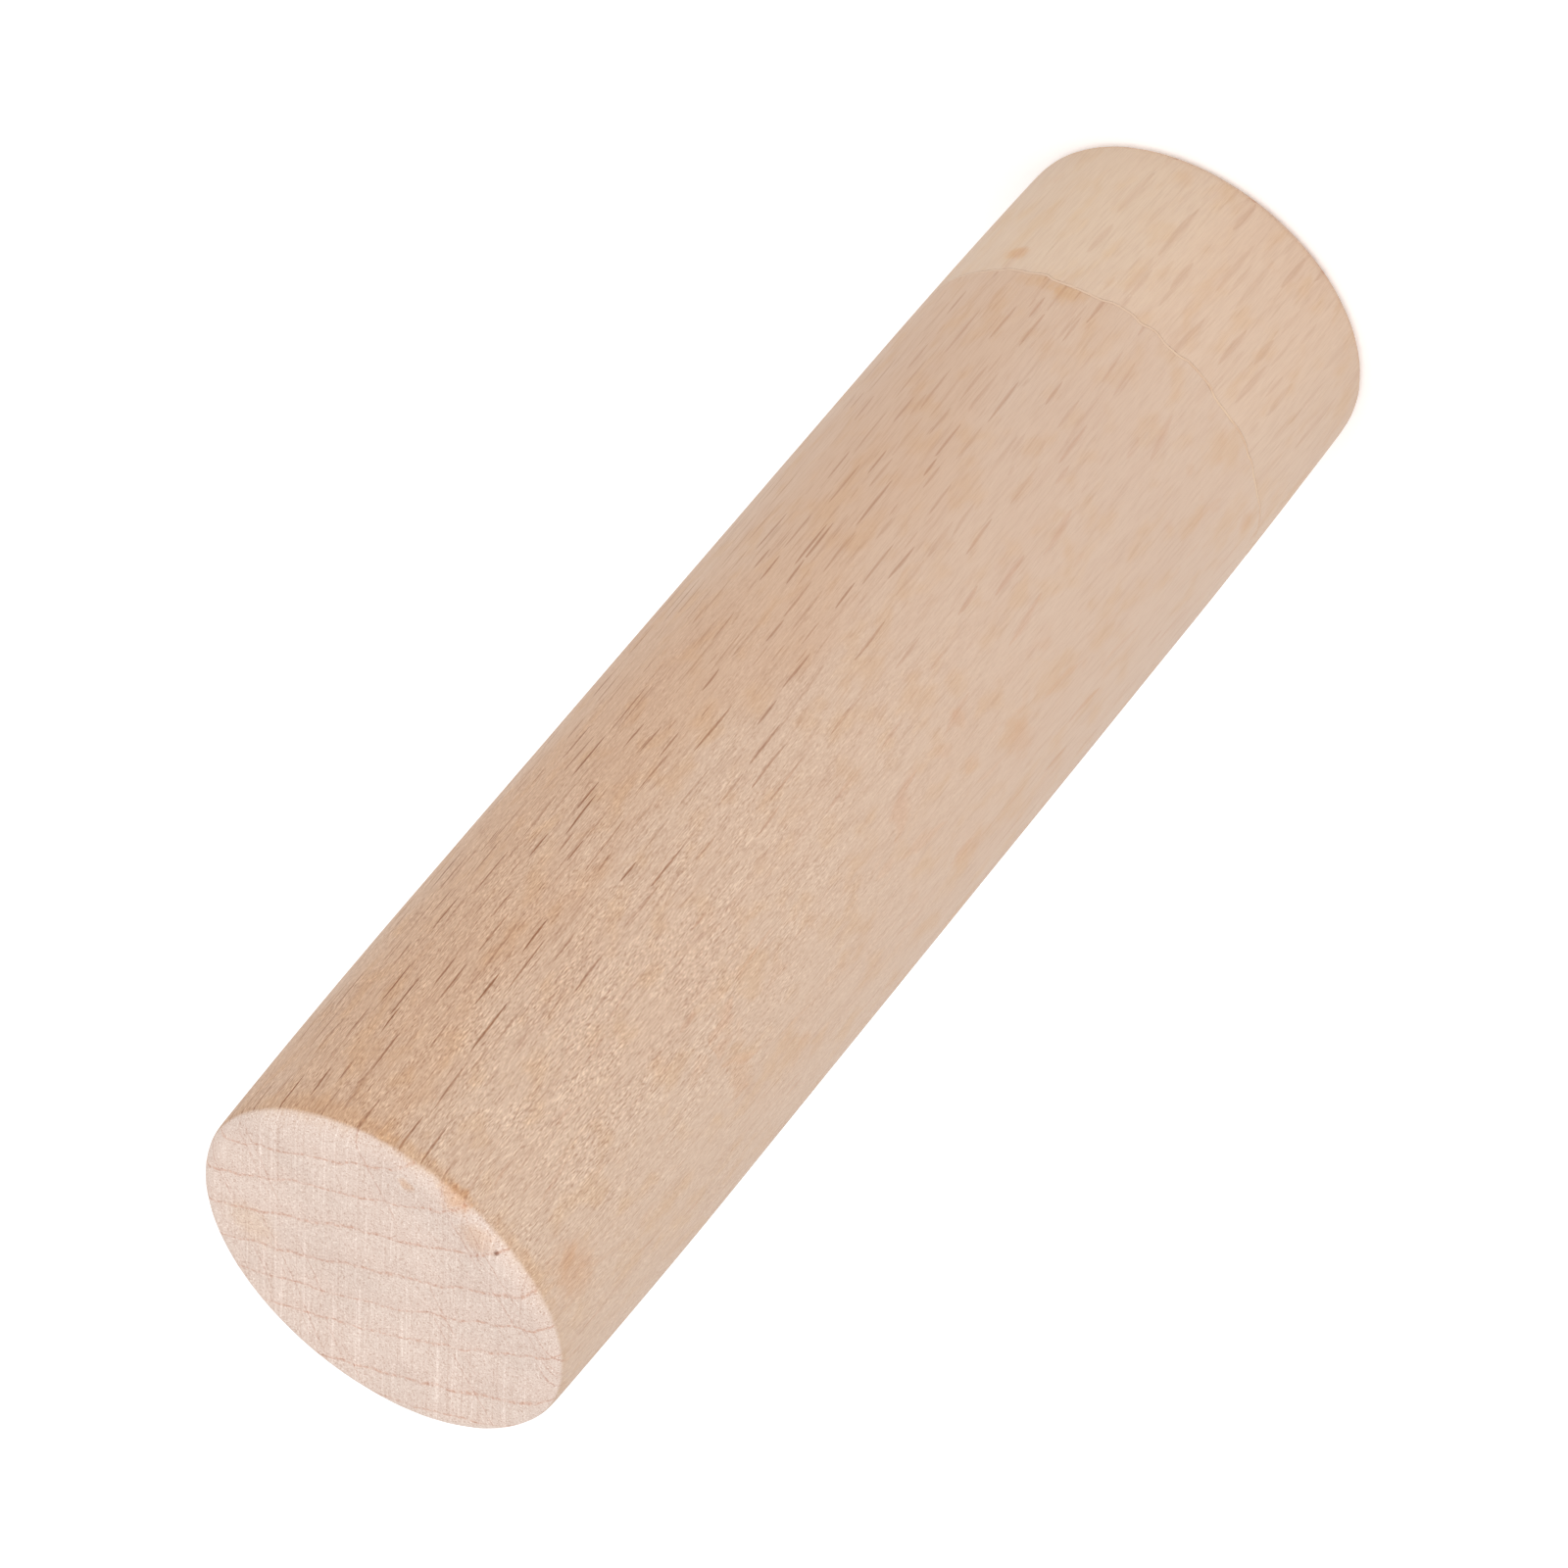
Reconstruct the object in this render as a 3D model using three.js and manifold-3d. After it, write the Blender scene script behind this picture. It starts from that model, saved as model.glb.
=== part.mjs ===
// A bar muddler: a plain turned beech cylinder made of a long shaft and a short end block, glued end to end
// round a hidden dowel. It stands on the end block's flat face, and its working face is the shaft's free end.
//
// Units are millimetres. +Z runs up the turned axis, and the origin is the centre of the foot face.

import * as THREE from "three";
import { mergeVertices } from "three/addons/utils/BufferGeometryUtils.js";
import Module from "manifold-3d";

// Driving dimensions of the turned body.
const LENGTH = 107;
const DIAMETER = 30;
const FOOT_ROUND = 0.85;
const CROWN_ROUND = 1.2;

// Sanding leaves the last stretch before each end slightly slim.
const END_LOSS = 0.36;
const END_REACH = 24;

// The butt joint: the end block, then the cured film of glue, then the shaft.
const BLOCK_LENGTH = 15.5;
const GLUE_THICKNESS = 0.2;

// The fluted dowel and the blind bores that it sits in.
const DOWEL_DIAMETER = 8;
const DOWEL_LENGTH = 25;
const DOWEL_IN_BLOCK = 11;
const DOWEL_CHAMFER = 0.8;
const FLUTE_COUNT = 16;
const FLUTE_DEPTH = 0.3;
const BORE_CLEARANCE = 0.1;
const BLOCK_BORE_SPARE = 0.5;
const SHAFT_BORE_SPARE = 1;

// How finely round shapes are cut into flats. A multiple of four keeps the full diameter along X and Y.
const BODY_SEGMENTS = 72;
const DOWEL_SEGMENTS = 48;
const ROUND_STEPS = 4;
const SIDE_STEP = 6;
const POINTS_PER_FLUTE = 6;

// Heights that follow from the sizes above.
const RADIUS = DIAMETER / 2;
const SHAFT_FOOT = BLOCK_LENGTH + GLUE_THICKNESS;
const BORE_RADIUS = DOWEL_DIAMETER / 2 + BORE_CLEARANCE;
const DOWEL_FOOT = BLOCK_LENGTH - DOWEL_IN_BLOCK;
const DOWEL_TOP = DOWEL_FOOT + DOWEL_LENGTH;
const BORE_FLOOR = DOWEL_FOOT - BLOCK_BORE_SPARE;
const BORE_CEILING = DOWEL_TOP + SHAFT_BORE_SPARE;

const wasm = await Module();
wasm.setup();

/** The body's radius at a height, with the slight loss near both ends. */
function bodyRadius(height) {
  const fromEnd = Math.min(height, LENGTH - height);
  const share = Math.max(0, 1 - fromEnd / END_REACH);
  return RADIUS - END_LOSS * share * share;
}

/** Profile points up the side from one height to another, both included. */
function sideProfile(from, to) {
  const steps = Math.ceil((to - from) / SIDE_STEP);
  const points = [];
  for (let i = 0; i <= steps; i += 1) {
    const height = from + ((to - from) * i) / steps;
    points.push(new THREE.Vector2(bodyRadius(height), height));
  }
  return points;
}

/** The rounded rim at the foot, from the foot face out to the side. */
function footRim() {
  const outer = bodyRadius(FOOT_ROUND);
  const points = [];
  for (let i = 0; i < ROUND_STEPS; i += 1) {
    const angle = ((Math.PI / 2) * i) / ROUND_STEPS;
    const inset = FOOT_ROUND * (1 - Math.sin(angle));
    const height = FOOT_ROUND * (1 - Math.cos(angle));
    points.push(new THREE.Vector2(outer - inset, height));
  }
  return points;
}

/** The rounded rim of the working face, from the side in to the flat. */
function crownRim() {
  const outer = bodyRadius(LENGTH - CROWN_ROUND);
  const points = [];
  for (let i = 1; i <= ROUND_STEPS; i += 1) {
    const angle = ((Math.PI / 2) * i) / ROUND_STEPS;
    const inset = CROWN_ROUND * (1 - Math.cos(angle));
    const drop = CROWN_ROUND * (1 - Math.sin(angle));
    points.push(new THREE.Vector2(outer - inset, LENGTH - drop));
  }
  return points;
}

/** A profile of radius and height turned about +Z. */
function turned(profile, segments) {
  return new THREE.LatheGeometry(profile, segments).rotateX(Math.PI / 2);
}

/** A manifold solid of a closed three.js geometry. */
function solidOf(geometry) {
  const bare = geometry.clone().deleteAttribute("normal").deleteAttribute("uv");
  const merged = mergeVertices(bare, 1e-4);
  const mesh = new wasm.Mesh({
    numProp: 3,
    vertProperties: merged.attributes.position.array,
    triVerts: new Uint32Array(merged.index.array),
  });
  return new wasm.Manifold(mesh);
}

/** A three.js geometry of a manifold solid. */
function geometryOf(solid) {
  const mesh = solid.getMesh();
  const geometry = new THREE.BufferGeometry();
  geometry.setAttribute("position", new THREE.BufferAttribute(mesh.vertProperties, 3));
  geometry.setIndex(new THREE.BufferAttribute(mesh.triVerts, 1));
  const flat = geometry.toNonIndexed();
  flat.computeVertexNormals();
  return flat;
}

/** The shaft: the long turned board, with a blind bore in its jointed end. */
function shaftGeometry() {
  const profile = [
    new THREE.Vector2(0, BORE_CEILING),
    new THREE.Vector2(BORE_RADIUS, BORE_CEILING),
    new THREE.Vector2(BORE_RADIUS, SHAFT_FOOT),
    ...sideProfile(SHAFT_FOOT, LENGTH - CROWN_ROUND),
    ...crownRim(),
    new THREE.Vector2(0, LENGTH),
  ];
  return turned(profile, BODY_SEGMENTS);
}

/** The end block: the short turned board that the muddler stands on, with a blind bore in its top. */
function endBlockGeometry() {
  const profile = [
    new THREE.Vector2(0, 0),
    ...footRim(),
    ...sideProfile(FOOT_ROUND, BLOCK_LENGTH),
    new THREE.Vector2(BORE_RADIUS, BLOCK_LENGTH),
    new THREE.Vector2(BORE_RADIUS, BORE_FLOOR),
    new THREE.Vector2(0, BORE_FLOOR),
  ];
  return turned(profile, BODY_SEGMENTS);
}

/** The glue film: a flat ring that fills the joint round the dowel and is turned flush with the side. */
function glueFilmGeometry() {
  const profile = [
    new THREE.Vector2(BORE_RADIUS, BLOCK_LENGTH),
    new THREE.Vector2(bodyRadius(BLOCK_LENGTH), BLOCK_LENGTH),
    new THREE.Vector2(bodyRadius(SHAFT_FOOT), SHAFT_FOOT),
    new THREE.Vector2(BORE_RADIUS, SHAFT_FOOT),
    new THREE.Vector2(BORE_RADIUS, BLOCK_LENGTH),
  ];
  return turned(profile, BODY_SEGMENTS);
}

/** The dowel's section: a circle with shallow round flutes pressed into it. */
function flutedSection() {
  const outline = new THREE.Shape();
  const count = FLUTE_COUNT * POINTS_PER_FLUTE;
  for (let i = 0; i < count; i += 1) {
    const angle = (2 * Math.PI * i) / count;
    const dip = Math.max(0, Math.cos(FLUTE_COUNT * angle));
    const radius = DOWEL_DIAMETER / 2 - FLUTE_DEPTH * dip;
    const point = [radius * Math.cos(angle), radius * Math.sin(angle)];
    if (i === 0) {
      outline.moveTo(...point);
    } else {
      outline.lineTo(...point);
    }
  }
  outline.closePath();
  return outline;
}

/** The dowel: a fluted pin with chamfered ends, standing across the joint. */
function dowelGeometry() {
  const fluted = new THREE.ExtrudeGeometry(flutedSection(), {
    depth: DOWEL_LENGTH,
    bevelEnabled: false,
  }).translate(0, 0, DOWEL_FOOT);
  const endRadius = DOWEL_DIAMETER / 2 - DOWEL_CHAMFER;
  const rise = BORE_RADIUS - endRadius;
  const chamfers = turned(
    [
      new THREE.Vector2(0, DOWEL_FOOT),
      new THREE.Vector2(endRadius, DOWEL_FOOT),
      new THREE.Vector2(BORE_RADIUS, DOWEL_FOOT + rise),
      new THREE.Vector2(BORE_RADIUS, DOWEL_TOP - rise),
      new THREE.Vector2(endRadius, DOWEL_TOP),
      new THREE.Vector2(0, DOWEL_TOP),
    ],
    DOWEL_SEGMENTS,
  );
  return geometryOf(solidOf(fluted).intersect(solidOf(chamfers)));
}

/** A named mesh with a plain non-metal finish. */
function piece(name, geometry, color, roughness) {
  const material = new THREE.MeshStandardMaterial({ color, roughness, metalness: 0 });
  const mesh = new THREE.Mesh(geometry, material);
  mesh.name = name;
  return mesh;
}

const muddler = new THREE.Group();
muddler.add(piece("shaft", shaftGeometry(), "#d6b799", 0.62));
muddler.add(piece("end_block", endBlockGeometry(), "#dfc0a4", 0.62));
muddler.add(piece("glue_film", glueFilmGeometry(), "#c79f63", 0.45));
muddler.add(piece("dowel", dowelGeometry(), "#cda97f", 0.7));

export default muddler;
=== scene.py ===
"""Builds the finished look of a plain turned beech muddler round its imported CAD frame.

The muddler is two beech boards glued end to end and turned to one straight cylinder. Geometry Nodes
turn every piece from an outline, the way a lathe does, and each board carries its own solid grain:
growth rings, medullary rays, vessels and fibres laid out round a pith that lies outside the cylinder.
"""

from __future__ import annotations

import logging
import math
from dataclasses import dataclass, field
from enum import Enum
from functools import reduce
from typing import Sequence, Union

import bpy
from mathutils import Matrix, Vector


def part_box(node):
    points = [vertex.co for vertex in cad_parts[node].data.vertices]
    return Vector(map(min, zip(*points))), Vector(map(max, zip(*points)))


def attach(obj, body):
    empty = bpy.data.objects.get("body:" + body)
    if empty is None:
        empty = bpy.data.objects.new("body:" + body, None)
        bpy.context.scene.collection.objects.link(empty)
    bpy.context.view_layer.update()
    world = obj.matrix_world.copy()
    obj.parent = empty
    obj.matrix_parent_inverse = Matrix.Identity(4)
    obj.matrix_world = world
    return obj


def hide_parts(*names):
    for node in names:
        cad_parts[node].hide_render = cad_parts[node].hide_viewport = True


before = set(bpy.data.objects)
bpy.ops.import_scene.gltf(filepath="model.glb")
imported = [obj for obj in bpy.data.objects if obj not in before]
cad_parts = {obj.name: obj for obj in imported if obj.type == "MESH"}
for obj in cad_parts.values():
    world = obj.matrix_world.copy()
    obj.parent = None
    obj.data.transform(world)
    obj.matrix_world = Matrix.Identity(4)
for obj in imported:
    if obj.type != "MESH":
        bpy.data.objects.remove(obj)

log = logging.getLogger("muddler")

ROOT_BODY = "root"
MM = 0.001
PER_METRE_MM = 1000.0
END_GRAIN = "end_grain"
SPARE = 0.005 * MM
EDGE = 0.015 * MM
JOINT_WANDER = 0.32 * MM
JOINT_CHIPS = 0.05 * MM
RIPPLE = 0.03 * MM
BORE_CLEARANCE = 0.1 * MM
SHAFT_BORE_SPARE = 1.0 * MM
BLOCK_BORE_SPARE = 0.5 * MM
WHITE = (1.0, 1.0, 1.0, 1.0)

# The sizes that the lathe takes, each in metres.
LATHE_SIZES = (
    "Ripple", "Rim Height", "Rim Wear", "Joint Height", "Joint Chips", "Joint Wander", "Flute Depth"
)

Colour = tuple[float, float, float]
Socket = bpy.types.NodeSocket
Value = Union[Socket, float, int, Sequence[float]]
Inputs = dict[Union[int, str], Value]
Outline = list[tuple[float, float]]


def srgb(red: int, green: int, blue: int) -> Colour:
    """A display colour from 0 to 255 as scene-linear values."""

    def linear(level: int) -> float:
        """One display level as a linear value."""
        share = level / 255.0
        return share / 12.92 if share <= 0.04045 else ((share + 0.055) / 1.055) ** 2.4

    return linear(red), linear(green), linear(blue)


def around(bearing: float) -> Vector:
    """The level unit vector at a bearing in degrees, from -Y round towards +X."""
    angle = math.radians(bearing)
    return Vector((math.sin(angle), -math.cos(angle), 0.0))


class Stain(Enum):
    """What a stain, a scuff or a burnished spot multiplies the wood's colour by."""

    LIGHT_PATCH = (1.04, 1.06, 1.04)
    ORANGE = (0.93, 0.75, 0.58)
    YELLOW = (0.96, 0.85, 0.67)
    SOFT_ORANGE = (0.97, 0.86, 0.76)
    DARK_SPECK = (0.45, 0.33, 0.28)
    TAN_RIM = (0.97, 0.89, 0.78)


# ----------------------------------------------------------------------------------------------
# Node wiring
# ----------------------------------------------------------------------------------------------


@dataclass(frozen=True)
class Ramp:
    """A smooth step that a value is read through.

    Attributes:
        start: Where the step starts.
        end: Where the step ends.
        low: The result at the start.
        high: The result at the end.
    """

    start: float
    end: float
    low: float = 0.0
    high: float = 1.0


class Wiring:
    """Adds nodes to one shader or geometry tree and joins them by value or by socket."""

    def __init__(self, tree: bpy.types.NodeTree) -> None:
        """Keeps the tree that nodes are added to."""
        self.tree = tree

    @staticmethod
    def of_material(name: str) -> tuple[bpy.types.Material, Wiring]:
        """Makes a material with an empty tree.

        Args:
            name: The material's name.

        Returns:
            The material and the wiring of its tree.
        """
        material = bpy.data.materials.new(name)
        material.use_nodes = True
        material.node_tree.nodes.clear()
        return material, Wiring(material.node_tree)

    def node(self, kind: str, **settings: object) -> bpy.types.Node:
        """Adds a node.

        Args:
            kind: Blender's node type.
            **settings: Properties to set on the node.

        Returns:
            The new node.
        """
        made = self.tree.nodes.new(kind)
        for name, value in settings.items():
            setattr(made, name, value)
        return made

    def feed(self, target: Socket, value: Value) -> None:
        """Links a socket to the target, or sets the target's own value.

        Args:
            target: The input socket.
            value: An output socket, a number, or a colour or vector.
        """
        if isinstance(value, bpy.types.NodeSocket):
            self.tree.links.new(value, target)
        elif target.type == "RGBA" and not isinstance(value, (int, float)):
            target.default_value = (*tuple(value)[:3], 1.0)
        else:
            target.default_value = value

    def fed(self, kind: str, inputs: Inputs, **settings: object) -> bpy.types.bpy_prop_collection:
        """Adds a node with its inputs fed.

        Args:
            kind: Blender's node type.
            inputs: What goes into each input, by name or number.
            **settings: Properties to set on the node.

        Returns:
            The node's outputs.
        """
        made = self.node(kind, **settings)
        for key, value in inputs.items():
            self.feed(made.inputs[key], value)
        return made.outputs

    def math(self, operation: str, *values: Value, clamp: bool = False) -> Socket:
        """A Math node on one to three values."""
        return self.fed("ShaderNodeMath", dict(enumerate(values)), operation=operation, use_clamp=clamp)[0]

    def plus(self, first: Value, second: Value) -> Socket:
        """One number added to another."""
        return self.math("ADD", first, second)

    def minus(self, first: Value, second: Value) -> Socket:
        """One number less another."""
        return self.math("SUBTRACT", first, second)

    def times(self, first: Value, second: Value) -> Socket:
        """One number times another."""
        return self.math("MULTIPLY", first, second)

    def over(self, first: Value, second: Value) -> Socket:
        """One number divided by another."""
        return self.math("DIVIDE", first, second)

    def gap(self, first: Value, second: Value) -> Socket:
        """How far apart two numbers are."""
        return self.math("ABSOLUTE", self.minus(first, second))

    def vector(self, operation: str, *values: Value) -> Socket:
        """A Vector Math node that gives a vector."""
        return self.fed("ShaderNodeVectorMath", dict(enumerate(values)), operation=operation)["Vector"]

    def scaled(self, vector: Value, factor: Value) -> Socket:
        """A vector times one number."""
        return self.fed("ShaderNodeVectorMath", {0: vector, "Scale": factor}, operation="SCALE")["Vector"]

    def dot(self, first: Value, second: Value) -> Socket:
        """The dot product of two vectors."""
        return self.fed("ShaderNodeVectorMath", {0: first, 1: second}, operation="DOT_PRODUCT")["Value"]

    def length(self, vector: Value) -> Socket:
        """The length of a vector."""
        return self.fed("ShaderNodeVectorMath", {0: vector}, operation="LENGTH")["Value"]

    def split(self, vector: Value) -> tuple[Socket, Socket, Socket]:
        """A vector's three parts."""
        parts = self.fed("ShaderNodeSeparateXYZ", {0: vector})
        return parts[0], parts[1], parts[2]

    def joined(self, x: Value, y: Value, z: Value = 0.0) -> Socket:
        """A vector from three parts."""
        return self.fed("ShaderNodeCombineXYZ", {0: x, 1: y, 2: z})[0]

    def flattened(self, vector: Value) -> Socket:
        """A vector with no part along the axis."""
        return self.vector("MULTIPLY", vector, (1.0, 1.0, 0.0))

    def noise(self, vector: Value, detail: float = 2.0, roughness: float = 0.5) -> Socket:
        """Smooth noise from 0 to 1 of a vector already scaled to its own grain."""
        inputs = {"Vector": vector, "Scale": 1.0, "Detail": detail, "Roughness": roughness}
        return self.fed("ShaderNodeTexNoise", inputs, noise_dimensions="3D")[0]

    def smooth(self, value: Value, start: Value, end: Value, low: Value = 0.0, high: Value = 1.0) -> Socket:
        """A smooth step of a value.

        Args:
            value: What is read.
            start: Where the step starts.
            end: Where the step ends.
            low: The result at the start.
            high: The result at the end.

        Returns:
            The stepped value.
        """
        inputs = {"Value": value, "From Min": start, "From Max": end, "To Min": low, "To Max": high}
        settings = {"interpolation_type": "SMOOTHSTEP", "clamp": True}
        return self.fed("ShaderNodeMapRange", inputs, **settings)["Result"]

    def ramp(self, value: Value, ramp: Ramp) -> Socket:
        """A value read through a ramp."""
        return self.smooth(value, ramp.start, ramp.end, ramp.low, ramp.high)

    def mix(self, factor: Value, first: Value, second: Value) -> Socket:
        """A colour between two colours."""
        inputs = {"Factor": factor, 6: first, 7: second}
        return self.fed("ShaderNodeMix", inputs, data_type="RGBA", clamp_factor=True)[2]

    def blend(self, factor: Value, first: Value, second: Value) -> Socket:
        """A number between two numbers."""
        inputs = {"Factor": factor, 2: first, 3: second}
        return self.fed("ShaderNodeMix", inputs, data_type="FLOAT", clamp_factor=True)[0]

    def stained(self, colour: Value, *layers: tuple[Colour, Value]) -> Value:
        """A colour under thin stains.

        Args:
            colour: The bare colour.
            *layers: For each stain, what it multiplies the colour by and how much of it is used.

        Returns:
            The stained colour.
        """
        for tint, amount in layers:
            colour = self.mix(amount, colour, self.vector("MULTIPLY", colour, tint))
        return colour

    def surfaced(self, inputs: Inputs, specular: float) -> None:
        """Ends a material in a plain dielectric surface.

        Args:
            inputs: What goes into the shader, by name.
            specular: The strength of its mirror reflection.
        """
        shader = self.fed("ShaderNodeBsdfPrincipled", {**inputs, "Specular IOR Level": specular})
        self.fed("ShaderNodeOutputMaterial", {"Surface": shader["BSDF"]})


def input_named(tree: bpy.types.NodeTree, name: str) -> str:
    """The identifier of a tree's input socket, which a modifier is set by.

    Args:
        tree: The tree.
        name: The input's name.

    Returns:
        The socket's identifier.

    Raises:
        KeyError: If the tree has no such input.
    """
    for item in tree.interface.items_tree:
        if item.item_type == "SOCKET" and item.in_out == "INPUT" and item.name == name:
            return item.identifier
    raise KeyError(name)


# ----------------------------------------------------------------------------------------------
# Wood
# ----------------------------------------------------------------------------------------------


@dataclass(frozen=True)
class Pattern:
    """One noise pattern that the wood grows in.

    Attributes:
        scale: Features per mm, twice across the grain and once along it.
        detail: How many finer layers it has.
        roughness: How strong each finer layer is beside the one before.
        offset: Moves it away from patterns of the same scale, in mm.
    """

    scale: tuple[float, float, float]
    detail: float = 2.0
    roughness: float = 0.5
    offset: float = 0.0


FIBRES = Pattern((13.0, 13.0, 0.6), 1.0)
STROKES = Pattern((13.0, 13.0, 3.0), 0.0, offset=19.0)
SPECKLES = Pattern((8.5, 8.5, 8.5), 1.0)
VESSELS = Pattern((5.0, 5.0, 0.25), roughness=0.6, offset=43.0)
CLOUDS = Pattern((0.16, 0.16, 0.05))
STREAKS = Pattern((0.6, 0.6, 0.05), offset=7.0)
MOTTLES = Pattern((0.55, 0.55, 0.28), offset=13.0)
BLOTCHES = Pattern((0.7, 0.7, 0.4), 1.0, offset=3.0)
FUZZ_PATCHES = Pattern((0.5, 0.5, 0.2), 1.0, offset=61.0)
STAIN_EDGES = Pattern((1.7, 1.7, 1.0), 3.0, 0.6)
END_CLOUDS = Pattern((0.18, 0.18, 0.18))
END_DOTS = Pattern((3.4, 3.4, 3.4), 1.0, offset=5.0)

# How the rings and the rays stray from true, and by how many mm.
RING_SWAY = ((Pattern((0.05, 0.05, 0.006)), 3.0), (Pattern((0.5, 0.5, 0.03), offset=31.0), 0.9))
RAY_SWAY = ((Pattern((0.05, 0.05, 0.012), offset=57.0), 2.2), (Pattern((0.4, 0.4, 0.1), offset=71.0), 0.5))

# How much of a board's shift each axis takes.
SHIFT_SHARES = (1.0, 0.7, 1.3)

# Where each effect starts and ends up the height of the muddler, in mm.
QUIET_FOOT = Ramp(18.0, 78.0, 1.0, 0.0)
SCOURED_JOINT = Ramp(16.5, 27.0, 1.0, 0.0)
FLECKS_BY_HEIGHT = Ramp(18.0, 92.0, 0.2, 1.0)
FOOT_RIM_HEIGHT = Ramp(0.1, 1.0, 1.0, 0.0)
FOOT_RIM_RADIUS = Ramp(12.8, 14.0)

# How the side's direction from the pith is read: 1 faces it, 0 is a radial face, -1 faces away.
CUT_ACROSS = Ramp(0.28, 0.55)
TURNED_TO_PITH = Ramp(-0.25, 0.5)
GRADUAL_TAN = Ramp(-0.45, 1.2, 0.0, 0.4)
STEEP_TAN = Ramp(0.77, 1.0, 0.0, 0.6)
RADIAL_FACE = Ramp(0.1, 0.65, 1.0, 0.0)
FAINT_FLECK_FACE = Ramp(0.1, 0.4)
DARK_FLECK_FACE = Ramp(0.45, 0.98)

# How the shapes of rays and rings are read.
RAY_CORE = Ramp(0.2, 1.3, 1.0, 0.0)
RAY_TIP = Ramp(0.0, 0.3)
RAY_SCATTER = 0.9
THINNEST_RAY = 0.004
FAINTEST_RAY = 0.35
LATEWOOD_RISE = Ramp(0.25, 0.95)
LATEWOOD_FALL = Ramp(0.95, 1.0, 1.0, 0.0)
RING_LINE_RISE = Ramp(0.89, 0.945)
RING_LINE_FALL = Ramp(0.955, 1.0, 1.0, 0.0)

# How the patterns are read on the side.
STREAKED = Ramp(0.4, 0.75, 0.0, 0.5)
MOTTLED = Ramp(0.48, 0.72)
BLOTCHED = Ramp(0.6, 0.76, 0.0, 0.6)
DARK_FIBRED = Ramp(0.5, 0.72)
LIGHT_FIBRED = Ramp(0.5, 0.28)
FUZZY = Ramp(0.3, 0.65, 0.5, 1.0)
# The next two steps paint a highlight on raised fibre strokes and paint shade beside them.
LIFTED_HIGHLIGHT = Ramp(0.56, 0.72)
SUNK_SHADE = Ramp(0.42, 0.26)

# How the patterns are read on an end face.
CLOUDED_END = Ramp(0.35, 0.7)
DASHED_RING = Ramp(0.42, 0.6, 0.2, 1.0)
DASHED_RAY = Ramp(0.36, 0.58, 0.35, 1.3)
BROKEN_RAY = Ramp(0.42, 0.58, 0.15, 1.6)
DARK_SPECKLED = Ramp(0.54, 0.74)
LIGHT_SPECKLED = Ramp(0.44, 0.26)
SAW_CREST = Ramp(0.55, 0.68)
SAW_TROUGH = Ramp(0.43, 0.3)


@dataclass(frozen=True)
class RayFlecks:
    """One family of medullary rays, seen end-on as spindles on a tangential surface.

    Attributes:
        across: Mean spacing round the rings, in mm.
        along: Mean spacing along the grain, in mm.
        kept: Share of the possible places that hold a ray.
        shortest: Least half-length along the grain, in mm.
        longest: Greatest half-length along the grain, in mm.
        half_width: Half the thickness of a ray, in mm.
        strength: How dark the family is on a tangential surface, from 0 to 1.
        shift: Moves the family's random places.
    """

    across: float
    along: float
    kept: float
    shortest: float
    longest: float
    half_width: float
    strength: float
    shift: float


@dataclass(frozen=True)
class Mark:
    """One stain, bruise or speck on a board.

    Attributes:
        bearing: Degrees round the axis, from -Y towards +X.
        height: Height above the foot, in mm.
        out: Distance from the axis, in mm.
        round_by: Half-size across the grain, in mm.
        along_by: Half-size along the grain, in mm.
        stain: What the wood's colour is multiplied by.
        strength: How much of the stain is used, from 0 to 1.
    """

    bearing: float
    height: float
    out: float
    round_by: float
    along_by: float
    stain: Stain
    strength: float

    def place(self) -> Vector:
        """The mark's middle, in mm."""
        return around(self.bearing) * self.out + Vector((0.0, 0.0, self.height))


@dataclass(frozen=True)
class Grain:
    """How a board was cut from the tree.

    Attributes:
        pith_bearing: Bearing of the tree's pith from the muddler's axis, in degrees.
        pith_distance: Distance of the pith from the muddler's axis, in mm.
        ring_spacing: Width of a growth ring, in mm.
        lean: How far the fibres lean sideways for each mm of height.
        shift: Moves all the random patterns, so that two boards differ.
        families: The ray families.
    """

    pith_bearing: float
    pith_distance: float
    ring_spacing: float
    lean: float
    shift: float
    families: tuple[RayFlecks, ...]


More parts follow.
